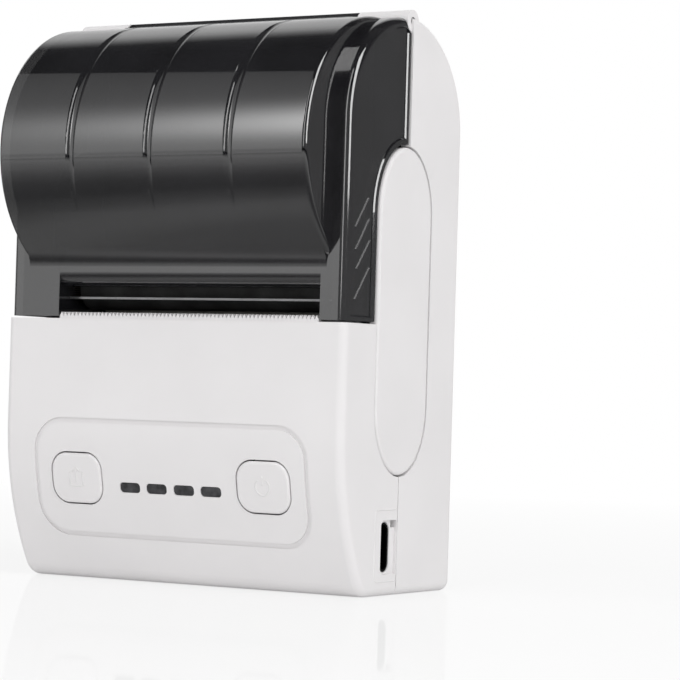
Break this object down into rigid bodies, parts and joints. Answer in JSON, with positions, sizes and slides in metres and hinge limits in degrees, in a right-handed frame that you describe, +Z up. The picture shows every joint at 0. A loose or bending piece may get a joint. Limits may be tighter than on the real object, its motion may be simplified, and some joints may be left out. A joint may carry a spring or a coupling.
{
  "type": "portable thermal printer",
  "caption": "Pocket thermal printer standing on end: white clamshell body, smoked round paper cover on a top hinge, toothed tear bar, press buttons and side release keys.",
  "frame": {"origin": "middle of the footprint's bounding box, on the surface that the printer stands on", "axes": "+X across the printer towards the side with the charging port, +Y towards its flat back, +Z up along its longest side"},
  "size_m": [0.0756, 0.0506, 0.1079],
  "materials": {
    "shell_white": "fine satin, light grey-white",
    "smoke_cover": "glossy smoked translucent plastic, nearly black",
    "black_plastic": "matt black",
    "dark_window": "glossy dark grey",
    "steel": "plain sheet and turned steel",
    "motor_can": "plated drawn can",
    "shield_can": "tinned shield",
    "port_metal": "black plated shell",
    "gear_plastic": "natural acetal",
    "platen_rubber": "ground rubber",
    "bush_brass": "turned",
    "head_ceramic": "glazed ceramic strip",
    "heat_sink": "bare extruded",
    "board": "green solder mask",
    "connector_white": "moulded, off-white",
    "flat_cable": "polyimide film",
    "battery_wrap": "shrink-wrapped film"
  },
  "bodies": {
    "base": {"front_shell": "shell_white", "rear_shell": "shell_white", "tear_bar": "shell_white", "exit_guide": "black_plastic", "paper_tray": "black_plastic", "light_guide": "black_plastic", "battery_connector": "black_plastic", "buzzer": "black_plastic", "feed_switch": "black_plastic", "power_switch": "black_plastic", "processor_chip": "black_plastic", "paper_sensor": "black_plastic", "usb_tongue": "black_plastic", "usb_socket": "port_metal", "indicator_windows": "dark_window", "mechanism_frame": "steel", "motor_screws": "steel", "idler_pin": "steel", "hinge_pins": "steel", "release_key_pins": "steel", "head_springs": "steel", "housing_screws": "steel", "stepper_motor": "motor_can", "wireless_module": "shield_can", "main_board": "board", "head_connector": "connector_white", "indicator_leds": "connector_white", "head_cable": "flat_cable", "battery_pack": "battery_wrap"},
    "cover": {"cover": "smoke_cover", "guide_strip": "steel", "platen_bushes": "bush_brass"},
    "platen": {"platen_roller": "platen_rubber", "platen_shaft": "steel", "platen_gear": "gear_plastic"},
    "idler": {"idler_gear": "gear_plastic"},
    "motor_rotor": {"motor_shaft": "steel", "motor_pinion": "gear_plastic"},
    "print_head": {"print_head": "head_ceramic", "head_heat_sink": "heat_sink"},
    "feed_button": {"feed_button": "shell_white", "feed_switch_plunger": "connector_white"},
    "power_button": {"power_button": "shell_white", "power_switch_plunger": "connector_white"},
    "release_key_left": {"release_key_left": "shell_white"},
    "release_key_right": {"release_key_right": "shell_white"}
  },
  "joints": [
    {"name": "cover_hinge", "type": "hinge", "parent": "base", "child": "cover", "pos_m": [0, 0.0058, 0.1058], "axis": [-1, 0, 0], "range_deg": [0, 95]},
    {"name": "platen_spin", "type": "hinge", "parent": "cover", "child": "platen", "pos_m": [0, -0.0058, 0.0556], "axis": [1, 0, 0], "continuous": true},
    {"name": "idler_spin", "type": "hinge", "parent": "base", "child": "idler", "pos_m": [-0.031, 0.00541, 0.05301], "axis": [1, 0, 0], "continuous": true},
    {"name": "motor_spin", "type": "hinge", "parent": "base", "child": "motor_rotor", "pos_m": [-0.031, 0.01418, 0.05099], "axis": [1, 0, 0], "continuous": true},
    {"name": "head_pivot", "type": "hinge", "parent": "base", "child": "print_head", "pos_m": [0, 0.001, 0.0486], "axis": [-1, 0, 0], "range_deg": [0, 1.5], "stiffness_Nm_per_rad": 2},
    {"name": "feed_button_press", "type": "slide", "parent": "base", "child": "feed_button", "axis": [0, 1, 0], "range_m": [0, 0.0004], "stiffness_N_per_m": 1000},
    {"name": "power_button_press", "type": "slide", "parent": "base", "child": "power_button", "axis": [0, 1, 0], "range_m": [0, 0.0004], "stiffness_N_per_m": 1000},
    {"name": "release_key_left_press", "type": "hinge", "parent": "base", "child": "release_key_left", "pos_m": [-0.0346, 0.0048, 0.027], "axis": [0, 1, 0], "range_deg": [0, 1.2], "stiffness_Nm_per_rad": 4},
    {"name": "release_key_right_press", "type": "hinge", "parent": "base", "child": "release_key_right", "pos_m": [0.0346, 0.0048, 0.027], "axis": [0, -1, 0], "range_deg": [0, 1.2], "stiffness_Nm_per_rad": 4}
  ],
  "couplings": [
    {"joint": "idler_spin", "follows": "platen_spin", "ratio": -0.76923},
    {"joint": "motor_spin", "follows": "platen_spin", "ratio": 2}
  ]
}
